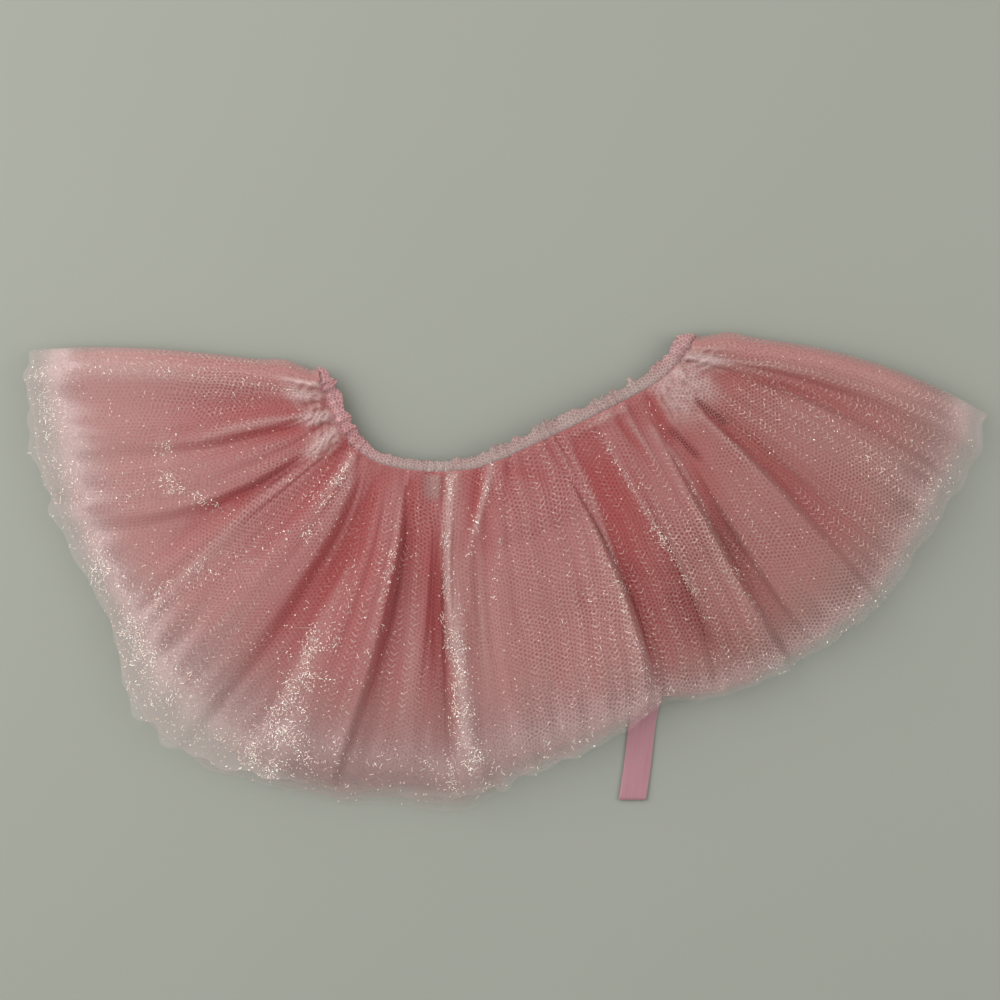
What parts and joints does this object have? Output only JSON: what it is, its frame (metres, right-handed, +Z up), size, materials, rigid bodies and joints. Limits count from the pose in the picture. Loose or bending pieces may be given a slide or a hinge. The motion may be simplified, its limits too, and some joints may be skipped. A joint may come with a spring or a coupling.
{
  "type": "ballet tutu laid flat",
  "caption": "Small pull-on tutu laid flat: glitter net over pink nets, gathered on an elastic waist, with a satin bow underneath and its tail past the hem.",
  "frame": {"origin": "on the surface it lies on, under the middle of the whole part", "axes": "+X along the spread hem to the right, +Y from the hem towards the waist, +Z up off the surface"},
  "size_m": [0.3342, 0.1664, 0.0178],
  "materials": {
    "glitter_net": "clear net with pearly glitter",
    "pink_net": "soft pink net",
    "pink_under_net": "soft pink net",
    "casing_net": "gathered pale net",
    "elastic": "woven white elastic",
    "satin": "pink satin"
  },
  "bodies": {
    "root": {"glitter_skirt": "glitter_net", "pink_skirt": "pink_net", "pink_underskirt": "pink_under_net", "waist_casing": "casing_net", "waist_elastic": "elastic", "bow_knot": "satin", "bow_loop_left": "satin", "bow_loop_right": "satin", "ribbon_tail_short": "satin", "ribbon_tail_long": "satin"}
  },
  "joints": []
}
